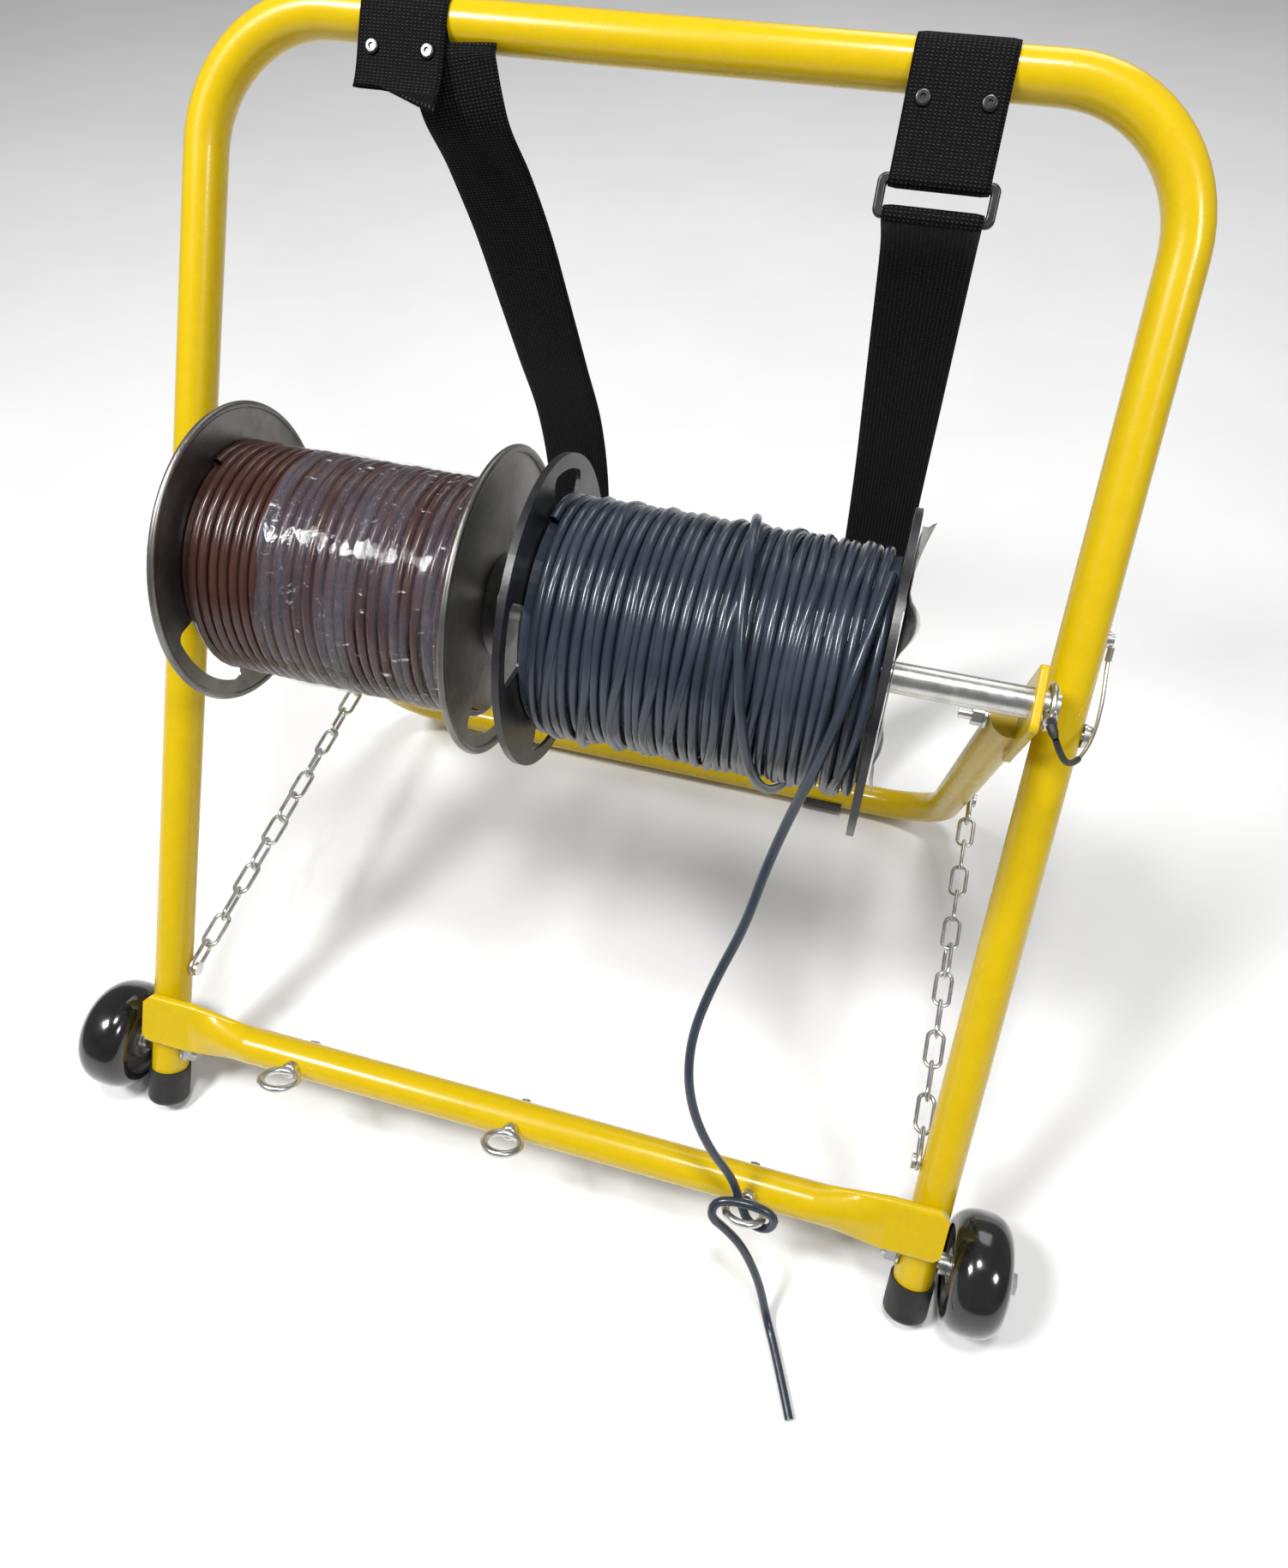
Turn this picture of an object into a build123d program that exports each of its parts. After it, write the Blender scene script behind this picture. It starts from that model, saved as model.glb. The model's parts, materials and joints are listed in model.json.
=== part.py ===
"""Folding two-spool wire feeder: a tube stand with wheels, straps, two spools and three guide rings.

World frame: millimetres, +X right, +Y back, +Z up, origin on the floor at the footprint's centre.
Front parts are drawn in the front frame's own axes (z up along the leg).
Rear parts are drawn in the rear stand's own axes.
Both sets of axes have their origin on the fold pivot.
"""
import math
import os

from build123d import *

os.makedirs("parts", exist_ok=True)

# ---- driving dimensions (mm, degrees) ----
LEAN = 36.0  # front frame, back from vertical
SPLAY = 30.0  # rear stand, back from vertical
TUBE_R = 12.7
TUBE_WALL = 1.6

LEG_X = 274.0  # front leg centre line
TOP_UP = 318.5  # top bar above the pivot, along the leg
LEG_DOWN = 388.0  # tube end below the pivot
TOP_BEND = 75.0
CROSSBAR_DOWN = 323.8
CROSSBAR_Y = -16.45
PAD_TALL = 38.0
PAD_THICK = 7.5
PAD_INNER_X = 247.0
PAD_OUTER_X = 284.0
ROUND_END_X = 200.0

CAP_TOP_DOWN = 370.0
CAP_BOTTOM_DOWN = 398.0
CAP_R = 14.4
CAP_FILLET = 5.0

REAR_LEG_X = 247.5
REAR_BEND = 60.0
REAR_TOP = 14.0  # rear tube beyond the pivot
FOOT_THICK = 2.5
FOOT_X = 147.0
FOOT_LONG = 34.0
PLATE_X = 250.0  # inner face of the axle plate
PLATE_THICK = 5.0
PLATE_TALL = 37.0
PLATE_FRONT = 60.0
PLATE_BACK = 24.0

AXLE_R = 8.55
AXLE_WALL = 2.0
AXLE_UP = 46.0  # axle in front of the pivot, along the rear leg
AXLE_HALF = 264.0
PIN_X = 260.0
PIN_R = 2.3
RING_R = 11.8
RING_WIRE_R = 1.6

WHEEL_DOWN = 353.5
WHEEL_X = 310.0
TYRE_R = 39.0
TYRE_WIDE = 36.0
HUB_R = 28.0
BOLT_R = 4.0
BEARING_R = 11.0
BEARING_WIDE = 7.0

PIVOT_BOLT_R = 3.0
RUNNING = 0.05  # radial clearance of every turning fit

EYE_X = (-160.0, 0.0, 160.0)
EYE_NAMES = ("left", "middle", "right")
EYE_Y = -46.0
EYE_R = 11.7
EYE_WIRE_R = 2.5

FLANGE_R = 88.0
WINDING_R = 67.0
CORE_R = 22.0
BROWN_X = (-207.5, -44.8)
GREY_X = (-11.5, 171.6)
FILM_X = (-160.0, -47.5)

WIRE_R = 2.8
CABLE_R = 1.1

WEB_WIDE = 50.8
WEB_THICK = 1.8
LOOP_X = 149.0
RIVET_HALF = 16.3
RIVET_DOWN = 18.5
SLIDER_TOP = 55.0  # upper slider bar below the top bar
SLIDER_GAP = 16.6
SLIDER_BAR_R = 2.6

CHAIN_WIRE_R = 1.5
CHAIN_WIDE = 10.8  # across a link's centre line
CHAIN_LINKS = 13
CHAIN_SCREW_R = 2.5
REAR_SCREW_DOWN = 262.0
FRONT_SCREW_DOWN = 287.5
FRONT_SCREW_Y = 2.0

# ---- heights and the floor ----
lean = math.radians(LEAN)
splay = math.radians(SPLAY)
cap_edge = (CAP_BOTTOM_DOWN - CAP_FILLET) * math.cos(lean) + (CAP_R - CAP_FILLET) * math.sin(lean)
PIVOT_Z = cap_edge + CAP_FILLET - 1.5  # the caps stand on flats 1.5 mm deep
REAR_LONG = (PIVOT_Z - TUBE_R - FOOT_THICK) / math.cos(splay)
BAR_Y = REAR_LONG * math.sin(splay)
BAR_Z = -REAR_LONG * math.cos(splay)

# Each strap's side view, from its top end to the rear bar, as (y, z) from the pivot.
STRAP_BACK_Y = BAR_Y + TUBE_R + 0.1 + WEB_THICK / 2
STRAP_LOWER = [(215, 48), (240, -10), (256, -70), (262, -130), (256, -190), (236, -240), (210, -275)]
STRAP_END = [(STRAP_BACK_Y, BAR_Z + 14), (STRAP_BACK_Y, BAR_Z - 12)]
RIGHT_STRAP = [(137.6, 209.6), (145.1, 200.2), (154, 184), (169, 155), (187, 112)] + STRAP_LOWER + STRAP_END
LEFT_STRAP = [(166.7, 246.3), (160.5, 237.7), (162, 220), (172, 190), (181, 152), (193, 108)]
LEFT_STRAP += STRAP_LOWER + STRAP_END
RIGHT_STRAP_X = [LOOP_X] * len(RIGHT_STRAP)
LEFT_STRAP_X = [-120, -118, -114, -108, -101, -97, -95, -95, -97, -100, -103, -106, -109, -112, -112]

PIVOT_Y = (WHEEL_DOWN * math.sin(lean) + TYRE_R - 262.0 - WEB_THICK / 2) / 2

WORLD = Location((0, PIVOT_Y, PIVOT_Z))
FRONT = Location((0, PIVOT_Y, PIVOT_Z), (-LEAN, 0, 0))
REAR = Location((0, PIVOT_Y, PIVOT_Z), (SPLAY, 0, 0))


def rod(x1, x2, radius, y=0.0, z=0.0):
    """A cylinder along X."""
    middle = Location(((x1 + x2) / 2, y, z), (0, 90, 0))
    return middle * Cylinder(radius, abs(x2 - x1))


def sleeve(x1, x2, outer, inner, y=0.0, z=0.0):
    return rod(x1, x2, outer, y, z) - rod(min(x1, x2) - 1, max(x1, x2) + 1, inner, y, z)


def rod_y(y1, y2, radius, x=0.0, z=0.0):
    """A cylinder along Y."""
    return Location((x, (y1 + y2) / 2, z), (90, 0, 0)) * Cylinder(radius, abs(y2 - y1))


def hex_x(x1, x2, across_flats, y=0.0, z=0.0):
    """A hexagonal prism along X."""
    outline = RegularPolygon(across_flats / 2, 6, major_radius=False)
    return Plane((min(x1, x2), y, z), x_dir=(0, 0, 1), z_dir=(1, 0, 0)) * extrude(outline, abs(x2 - x1))


def hex_y(y1, y2, across_flats, x=0.0, z=0.0):
    outline = RegularPolygon(across_flats / 2, 6, major_radius=False)
    return Plane((x, min(y1, y2), z), x_dir=(1, 0, 0), z_dir=(0, 1, 0)) * extrude(outline, abs(y2 - y1))


def bent_tube(points, bend, outer, wall):
    path = FilletPolyline(*points, radius=bend)
    ring = Circle(outer) - Circle(outer - wall)
    return sweep(Plane(path @ 0, z_dir=path % 0) * ring, path=path)


def both_sides(shape):
    """The shape and its mirror image across the middle plane."""
    return Compound(children=[shape, mirror(shape, about=Plane.YZ)])


def turned(profile, x, y=0.0, z=0.0):
    """Revolve a profile drawn as (radius, x offset) about a line along X."""
    plane = Plane((x, y, z), x_dir=(0, 0, 1), z_dir=(0, 1, 0))
    face = plane * make_face(Polyline(*profile, close=True))
    return revolve(face, Axis((x, y, z), (1, 0, 0)))


def save(node, shape, place):
    solids = [place * solid for solid in shape.solids()]
    export_step(solids[0] if len(solids) == 1 else Compound(children=solids), f"parts/{node}.step")


# ---- front frame ----
def front_frame():
    corners = [(-LEG_X, 0, -LEG_DOWN), (-LEG_X, 0, TOP_UP), (LEG_X, 0, TOP_UP), (LEG_X, 0, -LEG_DOWN)]
    tube = bent_tube(corners, TOP_BEND, TUBE_R, TUBE_WALL)
    reach = LEG_X + 20
    tube -= rod(-reach, reach, BOLT_R + RUNNING, z=-WHEEL_DOWN)
    tube -= rod(-reach, reach, PIVOT_BOLT_R + RUNNING)
    tube -= rod(-LEG_X, LEG_X, CHAIN_SCREW_R + RUNNING, FRONT_SCREW_Y, -FRONT_SCREW_DOWN)
    return tube - rod(LEG_X, LEG_X + 20, 2.05, 4.0, 54.0)


def lower_crossbar():
    def section(x, sketch):
        return Plane((x, CROSSBAR_Y, -CROSSBAR_DOWN), x_dir=(0, 0, 1), z_dir=(1, 0, 0)) * sketch

    middle = extrude(section(-ROUND_END_X, Circle(TUBE_R)), 2 * ROUND_END_X)
    slot = SlotOverall(PAD_TALL, PAD_THICK)
    neck = loft([section(ROUND_END_X, Circle(TUBE_R)), section(PAD_INNER_X, slot)])
    pad = extrude(section(PAD_INNER_X, slot), PAD_OUTER_X - PAD_INNER_X)
    corner = chamfer(Rectangle(2 * (PAD_OUTER_X - 200), PAD_TALL).vertices(), 6)
    face_on = Plane((200, CROSSBAR_Y, -CROSSBAR_DOWN), x_dir=(1, 0, 0), z_dir=(0, -1, 0))
    pad &= face_on * extrude(corner, 20, both=True)
    bar = middle + neck + pad + mirror(neck, about=Plane.YZ) + mirror(pad, about=Plane.YZ)
    bar -= rod(-ROUND_END_X, ROUND_END_X, TUBE_R - TUBE_WALL, CROSSBAR_Y, -CROSSBAR_DOWN)
    for x in EYE_X:
        bar -= rod_y(-40, 10, 3.05, x, -CROSSBAR_DOWN)
    return bar


def leg_cap(side):
    x = side * LEG_X
    tall = CAP_BOTTOM_DOWN - CAP_TOP_DOWN
    cap = Location((x, 0, -(CAP_BOTTOM_DOWN + CAP_TOP_DOWN) / 2)) * Cylinder(CAP_R, tall)
    cap = fillet(cap.edges().group_by(Axis.Z)[0], CAP_FILLET)
    socket = Cylinder(TUBE_R + 0.05, LEG_DOWN - CAP_TOP_DOWN + 0.2)
    cap -= Location((x, 0, -(CAP_TOP_DOWN + LEG_DOWN) / 2)) * socket
    below_floor = Location((x, 0, -PIVOT_Z - 50)) * Box(80, 900, 100)
    return cap - Location((0, 0, 0), (LEAN, 0, 0)) * below_floor


def guide_ring(x):
    ring = Location((x, EYE_Y, -CROSSBAR_DOWN)) * Torus(EYE_R, EYE_WIRE_R)
    face_y = CROSSBAR_Y - TUBE_R
    shoulder = rod_y(face_y - 6.4, face_y, 5.4, x, -CROSSBAR_DOWN)
    shoulder = fillet(shoulder.edges().group_by(Axis.Y)[0], 2.0)
    return ring + (shoulder + rod_y(face_y - 2, 5, 3.0, x, -CROSSBAR_DOWN))


def guide_ring_nuts():
    back = CROSSBAR_Y + TUBE_R
    nuts = []
    for x in EYE_X:
        nut = hex_y(back - 1.0, back + 5, 10, x, -CROSSBAR_DOWN)
        nuts.append(nut - rod_y(-40, 10, 3.05, x, -CROSSBAR_DOWN))
    bar = rod(-ROUND_END_X, ROUND_END_X, TUBE_R + 0.02, CROSSBAR_Y, -CROSSBAR_DOWN)
    return Compound(children=[nut - bar for nut in nuts])


# ---- wheels ----
def wheel_bolt(side):
    head_in = WHEEL_X + TYRE_WIDE / 2 + 1.9
    bolt = rod(head_in + 1, 250.5, BOLT_R, z=-WHEEL_DOWN)
    bolt += hex_x(head_in, head_in + 5.3, 13, z=-WHEEL_DOWN)
    return bolt if side > 0 else mirror(bolt, about=Plane.YZ)


def wheel_fasteners():
    """On each side: the spacer by the leg, the outer washer, the inner washer and the lock nut."""
    inner_face = LEG_X - TUBE_R
    z = -WHEEL_DOWN
    hole = BOLT_R + RUNNING
    spacer = sleeve(LEG_X + TUBE_R + 0.1, 293.2, 7, hole, z=z)
    outer_washer = sleeve(WHEEL_X + TYRE_WIDE / 2 + 0.3, WHEEL_X + TYRE_WIDE / 2 + 1.8, 8, hole, z=z)
    inner_washer = sleeve(inner_face - 0.1, inner_face - 1.6, 8, hole, z=z)
    nut = hex_x(inner_face - 1.7, inner_face - 8.4, 13, z=z) - rod(240, 270, hole, z=z)
    return both_sides(Compound(children=[spacer, outer_washer, inner_washer, nut]))


def tyre(side):
    """A round-shouldered tyre: flat where it meets the hub, then one smooth crown."""
    half = TYRE_WIDE / 2
    x = side * WHEEL_X
    plane = Plane((x, 0, -WHEEL_DOWN), x_dir=(0, 0, 1), z_dir=(0, 1, 0))
    foot = [(HUB_R, -half + 2), (TYRE_R - 13, -half)]
    crown = [foot[1], (TYRE_R - 6, -half + 2), (TYRE_R - 1.6, -half + 8), (TYRE_R, 0)]
    crown += [(r, -off) for r, off in crown[-2::-1]]
    corner = (HUB_R, half - 2)
    outline = Line(*foot) + Spline(*crown) + Line(crown[-1], corner) + Line(corner, foot[0])
    return revolve(plane * make_face(outline), Axis((x, 0, -WHEEL_DOWN), (1, 0, 0)))


def wheel_hub(side):
    half = TYRE_WIDE / 2 - 2.2
    rim = HUB_R - 0.02
    outline = [(BEARING_R, -half + 1), (BEARING_R + 3, -half + 1)]
    outline += [(BEARING_R + 4, -half + 6), (rim - 4, -half + 6)]
    outline += [(rim - 3, -half), (rim, -half), (rim, half), (rim - 3, half), (rim - 4, half - 6)]
    outline += [(BEARING_R + 4, half - 6), (BEARING_R + 3, half - 1), (BEARING_R, half - 1)]
    outline += [(BEARING_R, half - 8.6), (8.5, half - 8.6), (8.5, -half + 8.6), (BEARING_R, -half + 8.6)]
    return turned(outline, side * WHEEL_X, z=-WHEEL_DOWN)


def bearings(side):
    out = TYRE_WIDE / 2 - 1.5
    x = side * WHEEL_X
    rings = []
    for a, b in ((-out, -out + BEARING_WIDE), (out - BEARING_WIDE, out)):
        rings.append(sleeve(x + a, x + b, BEARING_R - 0.02, BOLT_R + RUNNING, z=-WHEEL_DOWN))
    return Compound(children=rings)


# ---- pivot ----
def pivot_bolt(side):
    washer_out = LEG_X + TUBE_R + 1.7
    bolt = rod(219, washer_out + 1, PIVOT_BOLT_R)
    dome = rod(washer_out, washer_out + 4.2, 6.2)
    dome = fillet(dome.edges().group_by(Axis.X)[-1], 2.5)
    bolt += dome
    return bolt if side > 0 else mirror(bolt, about=Plane.YZ)


def pivot_fasteners():
    """On each side: head washer, spacer tube, inner washer and lock nut."""
    hole = PIVOT_BOLT_R + RUNNING
    head_washer = sleeve(LEG_X + TUBE_R + 0.1, LEG_X + TUBE_R + 1.6, 7, hole)
    spacer = sleeve(PLATE_X + PLATE_THICK + 0.3, LEG_X - TUBE_R - 0.1, 6, hole)
    leg_face = REAR_LEG_X - TUBE_R
    washer = sleeve(leg_face - 0.4, leg_face - 1.8, 6.5, hole)
    nut = hex_x(leg_face - 1.9, leg_face - 8.4, 10) - rod(200, 240, hole)
    return both_sides(Compound(children=[head_washer, spacer, washer, nut]))


# ---- rear stand ----
def rear_frame():
    corners = [(-REAR_LEG_X, 0, REAR_TOP), (-REAR_LEG_X, 0, -REAR_LONG), (REAR_LEG_X, 0, -REAR_LONG)]
    corners.append((REAR_LEG_X, 0, REAR_TOP))
    tube = bent_tube(corners, REAR_BEND, TUBE_R, TUBE_WALL)
    plug_long = REAR_TOP + PLATE_BACK + 8
    plug_middle = (REAR_TOP - PLATE_BACK - 8) / 2
    closed_end = Location((REAR_LEG_X, 0, plug_middle)) * Cylinder(TUBE_R - 0.2, plug_long)
    tube += both_sides(closed_end)
    seat = Location((PLATE_X + 10, 0, (REAR_TOP - PLATE_BACK) / 2)) * Box(20, 40, REAR_TOP + PLATE_BACK + 1)
    seat = seat + mirror(seat, about=Plane.YZ)
    tube -= seat
    tube -= rod(-280, 280, PIVOT_BOLT_R + RUNNING)
    return tube - both_sides(rod(REAR_LEG_X, 270, CHAIN_SCREW_R + RUNNING, z=-REAR_SCREW_DOWN))


def axle_plate(side):
    long = PLATE_FRONT + PLATE_BACK
    centre = (PLATE_X + PLATE_THICK / 2 + 0.02, 0, (PLATE_FRONT - PLATE_BACK) / 2)
    plate = Location(centre) * Box(PLATE_THICK - 0.04, PLATE_TALL, long)
    plate = fillet(plate.edges().filter_by(Axis.X), 4)
    plate = fillet(plate.edges().group_by(Axis.Z)[-1], 1.2)
    plate -= rod(240, 265, AXLE_R + 0.15, z=AXLE_UP) + rod(240, 265, PIVOT_BOLT_R + RUNNING)
    return plate if side > 0 else mirror(plate, about=Plane.YZ)


def rear_foot(side):
    """A rubber clip round the lower part of the rear bar, flat where it stands on the floor."""
    x = side * FOOT_X
    x1, x2 = x - FOOT_LONG / 2, x + FOOT_LONG / 2
    foot = sleeve(x1, x2, TUBE_R + FOOT_THICK + 0.6, TUBE_R + 0.05, BAR_Y, BAR_Z)
    foot -= Location((x, BAR_Y, -PIVOT_Z - 20)) * Box(60, 60, 40)
    foot -= Location((x, BAR_Y, BAR_Z + 21)) * Box(60, 60, 40)
    return foot - Location((x, BAR_Y + 25 + TUBE_R - 0.2, BAR_Z)) * Box(60, 50, 60)


def strap_end_rivets():
    rivets = []
    for centre in (LEFT_STRAP_X[-1], LOOP_X):
        for step in (-RIVET_HALF, RIVET_HALF):
            outside = STRAP_BACK_Y + WEB_THICK / 2
            rivet = rod_y(BAR_Y + TUBE_R - 1.5, outside + 0.5, 2.0, centre + step, BAR_Z)
            rivets.append(rivet + rod_y(outside + 0.05, outside + 1.6, 4.5, centre + step, BAR_Z))
    return Compound(children=rivets)


def bar_with_rivet_holes(tube):
    """The rear tube drilled for the strap end rivets, which are drawn in upright axes."""
    for centre in (LEFT_STRAP_X[-1], LOOP_X):
        for step in (-RIVET_HALF, RIVET_HALF):
            hole = rod_y(BAR_Y + TUBE_R - 3, BAR_Y + TUBE_R + 3, 2.05, centre + step, BAR_Z)
            tube -= Location((0, 0, 0), (-SPLAY, 0, 0)) * hole
    return tube


def spool_axle():
    axle = sleeve(-AXLE_HALF, AXLE_HALF, AXLE_R, AXLE_R - AXLE_WALL, z=AXLE_UP)
    for x in (-PIN_X, PIN_X):
        hole = Location((x, 0, AXLE_UP), (45, 0, 0)) * Cylinder(PIN_R + 0.05, 30)
        axle -= hole
    return axle


def ring_pin(side):
    """A cross pin through the axle's end. Its head carries the round wire ring."""
    shank = Location((0, 0, -0.3)) * Cylinder(PIN_R, 18.6)
    head = Location((0, 0, 12.7)) * Cylinder(3.6, 8.0)
    head -= Location((0, 0, RING_R), (90, 0, 0)) * Cylinder(2.35, 20)
    return Location((side * PIN_X, 0, AXLE_UP), (45, 0, 0)) * (shank + head)


def pin_ring(side):
    ring = Location((0, 0, 0), (0, 90, 0)) * Torus(RING_R, RING_WIRE_R)
    return Location((side * PIN_X, 0, AXLE_UP), (45, 0, 0)) * ring


# ---- spools ----
def windows(shape, x, inner, outer, count, first, sweep_deg):
    """Cut evenly spaced curved windows through a flange."""
    half = math.radians(sweep_deg / 2)
    for i in range(count):
        turn = first + i * 360.0 / count
        ring = sleeve(x - 8, x + 8, outer, inner, z=AXLE_UP)
        reach = 2 * FLANGE_R
        across = reach * math.tan(half)
        wedge_face = make_face(Polyline((0, 0), (reach, -across), (reach, across), close=True))
        wedge = Plane((x - 8, 0, AXLE_UP), x_dir=(0, 0, 1), z_dir=(1, 0, 0)) * extrude(wedge_face, 16)
        cut = ring & wedge.rotate(Axis((0, 0, AXLE_UP), (1, 0, 0)), turn)
        cut = fillet(cut.edges().filter_by(Axis.X), 5.0)
        shape -= cut
    return shape


def steel_flange(x, out):
    """A pressed steel disc with a rolled rim and a dished middle. out is the side away from the wire."""
    t = 1.0
    disc = [(AXLE_R + 0.1, out * 5), (24, out * 5), (30, 0), (84, 0), (84, out * t), (30.4, out * t)]
    disc += [(24.4, out * (5 + t)), (AXLE_R + 0.1, out * (5 + t))]
    flange = turned(disc, x, z=AXLE_UP)
    rim = Location((x + out * 1.2, 0, AXLE_UP), (0, 90, 0)) * Torus(FLANGE_R - 2.2, 2.2)
    flange += rim + sleeve(x, x + out * t, 86.5, 83, z=AXLE_UP)
    if out < 0:
        return windows(flange, x, 38, 76, 1, 87.0, 56)
    return windows(flange, x, 36, 76, 1, 133.0, 95)


def plastic_flange(x, out):
    rim = [(AXLE_R + 0.1, 0), (FLANGE_R, 0), (FLANGE_R, out * 4), (FLANGE_R - 4, out * 4)]
    rim += [(FLANGE_R - 5, out * 2.4), (30, out * 2.4), (28, out * 5), (AXLE_R + 0.1, out * 5)]
    return windows(turned(rim, x, z=AXLE_UP), x, 56, 80, 4, 302.0, 34)


def spool_core(x1, x2):
    return sleeve(x1 + 0.3, x2 - 0.3, CORE_R, CORE_R - 1.5, z=AXLE_UP)


def winding(x1, x2):
    return sleeve(x1 + 0.4, x2 - 0.4, WINDING_R, CORE_R + 0.1, z=AXLE_UP)


def spool_film():
    return sleeve(FILM_X[0], FILM_X[1], WINDING_R + 0.5, WINDING_R + 0.1, z=AXLE_UP)


def spool_label():
    """What is left of a paper disc on the outer side of the right flange."""
    x = GREY_X[1] + 5.2
    disc = sleeve(x, x + 0.8, 84, 34, z=AXLE_UP)
    return disc & (Location((x, -60, AXLE_UP + 40)) * Box(10, 140, 150))


# ---- straps ----
def loop_section(tab_down, slider=False):
    """The webbing loop in side view: round the top bar, then two layers side by side."""
    inner = TUBE_R + 0.2
    outer = inner + WEB_THICK
    web = Circle(outer)
    web += Location((-(inner + outer) / 2, -tab_down / 2)) * Rectangle(WEB_THICK, tab_down)
    web += Location((-outer + WEB_THICK, -(9 + tab_down) / 2)) * Rectangle(2 * WEB_THICK, tab_down - 9)
    if slider:
        web += Location((-outer + WEB_THICK, -SLIDER_TOP)) * Circle(SLIDER_BAR_R + 0.2 + WEB_THICK)
        web -= Location((-outer + WEB_THICK, -SLIDER_TOP)) * Circle(SLIDER_BAR_R + 0.2)
    web -= Circle(inner)
    return web


def strap_loop(side):
    section = loop_section(SLIDER_TOP - 3.5, True) if side > 0 else loop_section(36)
    plane = Plane((side * LOOP_X - WEB_WIDE / 2, 0, TOP_UP), x_dir=(0, 1, 0), z_dir=(1, 0, 0))
    loop = extrude(plane * section, WEB_WIDE)
    for step in (-RIVET_HALF, RIVET_HALF):
        loop -= rod_y(-25, 0, 2.05, side * LOOP_X + step, TOP_UP - RIVET_DOWN)
    return loop


def strap_rivets():
    rivets = []
    front = -(TUBE_R + 0.2 + WEB_THICK)
    back = front + 2 * WEB_THICK
    for centre in (-LOOP_X, LOOP_X):
        behind = back + (WEB_THICK + 0.3 if centre < 0 else 0)
        for step in (-RIVET_HALF, RIVET_HALF):
            x, z = centre + step, TOP_UP - RIVET_DOWN
            rivet = rod_y(front - 0.3, behind + 0.5, 2.0, x, z)
            head = fillet(rod_y(front - 1.7, front - 0.05, 4.1, x, z).edges().group_by(Axis.Y)[0], 1.2)
            head -= rod_y(front - 2.0, front - 0.9, 1.5, x, z)
            rivets.append(rivet + head + rod_y(behind + 0.05, behind + 1.2, 4.6, x, z))
    return Compound(children=rivets)


def strap_slider():
    """A flat plastic ring with rounded corners. Its upper and lower sides are the webbing's bars."""
    bar = 2 * SLIDER_BAR_R - 0.4
    wide = WEB_WIDE + 6
    centre = TOP_UP - SLIDER_TOP - SLIDER_GAP / 2
    outline = RectangleRounded(wide + bar, SLIDER_GAP + bar, 4.5)
    outline -= RectangleRounded(wide - bar, SLIDER_GAP - bar, 1.5)
    plane = Plane((LOOP_X, -(TUBE_R + 0.2), centre), x_dir=(1, 0, 0), z_dir=(0, -1, 0))
    slider = plane * extrude(outline, 2.0, both=True)
    rims = slider.faces().filter_by(Axis.Y).edges()
    return fillet(rims, 1.4)


def ribbon(profile, centres):
    """A flat webbing strip whose width lies along X."""
    sections = []
    last = len(profile) - 1
    for i, ((y, z), x) in enumerate(zip(profile, centres)):
        before, after = profile[max(i - 1, 0)], profile[min(i + 1, last)]
        along = Vector(0, after[0] - before[0], after[1] - before[1]).normalized()
        off = Vector(0, -along.Z, along.Y) * (WEB_THICK / 2)
        side = Vector(WEB_WIDE / 2, 0, 0)
        middle = Vector(x, y, z)
        corners = [middle - side - off, middle + side - off, middle + side + off, middle - side + off]
        sections.append(Wire.make_polygon(corners, close=True))
    return Solid.make_loft(sections, ruled=True)


def drilled_strap(profile, centres):
    strap = ribbon(profile, centres)
    for step in (-RIVET_HALF, RIVET_HALF):
        strap -= rod_y(STRAP_BACK_Y - 5, STRAP_BACK_Y + 5, 2.05, centres[-1] + step, BAR_Z)
    return strap


def right_strap():
    """The long right strap and its fold round the slider's lower bar."""
    y = -(TUBE_R + 0.2)
    low = TOP_UP - SLIDER_TOP - SLIDER_GAP
    x1, x2 = LOOP_X - WEB_WIDE / 2, LOOP_X + WEB_WIDE / 2
    fold = sleeve(x1, x2, SLIDER_BAR_R + 0.2 + WEB_THICK, SLIDER_BAR_R + 0.2, y, low)
    return drilled_strap(RIGHT_STRAP, RIGHT_STRAP_X) + Location((0, 0, 0), (-LEAN, 0, 0)) * fold


def left_strap():
    strap = drilled_strap(LEFT_STRAP, LEFT_STRAP_X)
    for step in (-RIVET_HALF, RIVET_HALF):
        hole = rod_y(-30, 10, 5.0, -LOOP_X + step, TOP_UP - RIVET_DOWN)
        strap -= Location((0, 0, 0), (-LEAN, 0, 0)) * hole
    return strap


# ---- chains ----
def turn(y, z, degrees):
    """Turn a side-view point about the pivot: positive leans the top to the front."""
    a = math.radians(degrees)
    return y * math.cos(a) - z * math.sin(a), y * math.sin(a) + z * math.cos(a)


def chain():
    """A taut chain of straight links from the rear leg's screw to the front leg's screw."""
    rear = Vector(262.2, *turn(0, -REAR_SCREW_DOWN, SPLAY))
    front = Vector(259.3, *turn(FRONT_SCREW_Y, -FRONT_SCREW_DOWN, -LEAN))
    span = (front - rear).length
    wire = 2 * CHAIN_WIRE_R
    grip = wire + 0.2  # overlap of two linked centre lines
    hold = CHAIN_WIRE_R + CHAIN_SCREW_R + 0.1
    step = (span + 2 * hold - grip) / CHAIN_LINKS
    long = step + grip
    along = (front - rear).normalized()
    links = []
    for i in range(CHAIN_LINKS):
        centre = rear + along * (long / 2 - hold + i * step)
        face = Vector(1, 0, 0) if i % 2 == 0 else along.cross(Vector(1, 0, 0))
        flat = Plane(origin=centre, x_dir=along, z_dir=face)
        line = SlotOverall(long + 0.0, CHAIN_WIDE).wire()
        start = line @ 0
        link = sweep(Plane(start, z_dir=line % 0) * Circle(CHAIN_WIRE_R), path=line)
        links.append(flat * link)
    return Compound(children=links)


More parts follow.
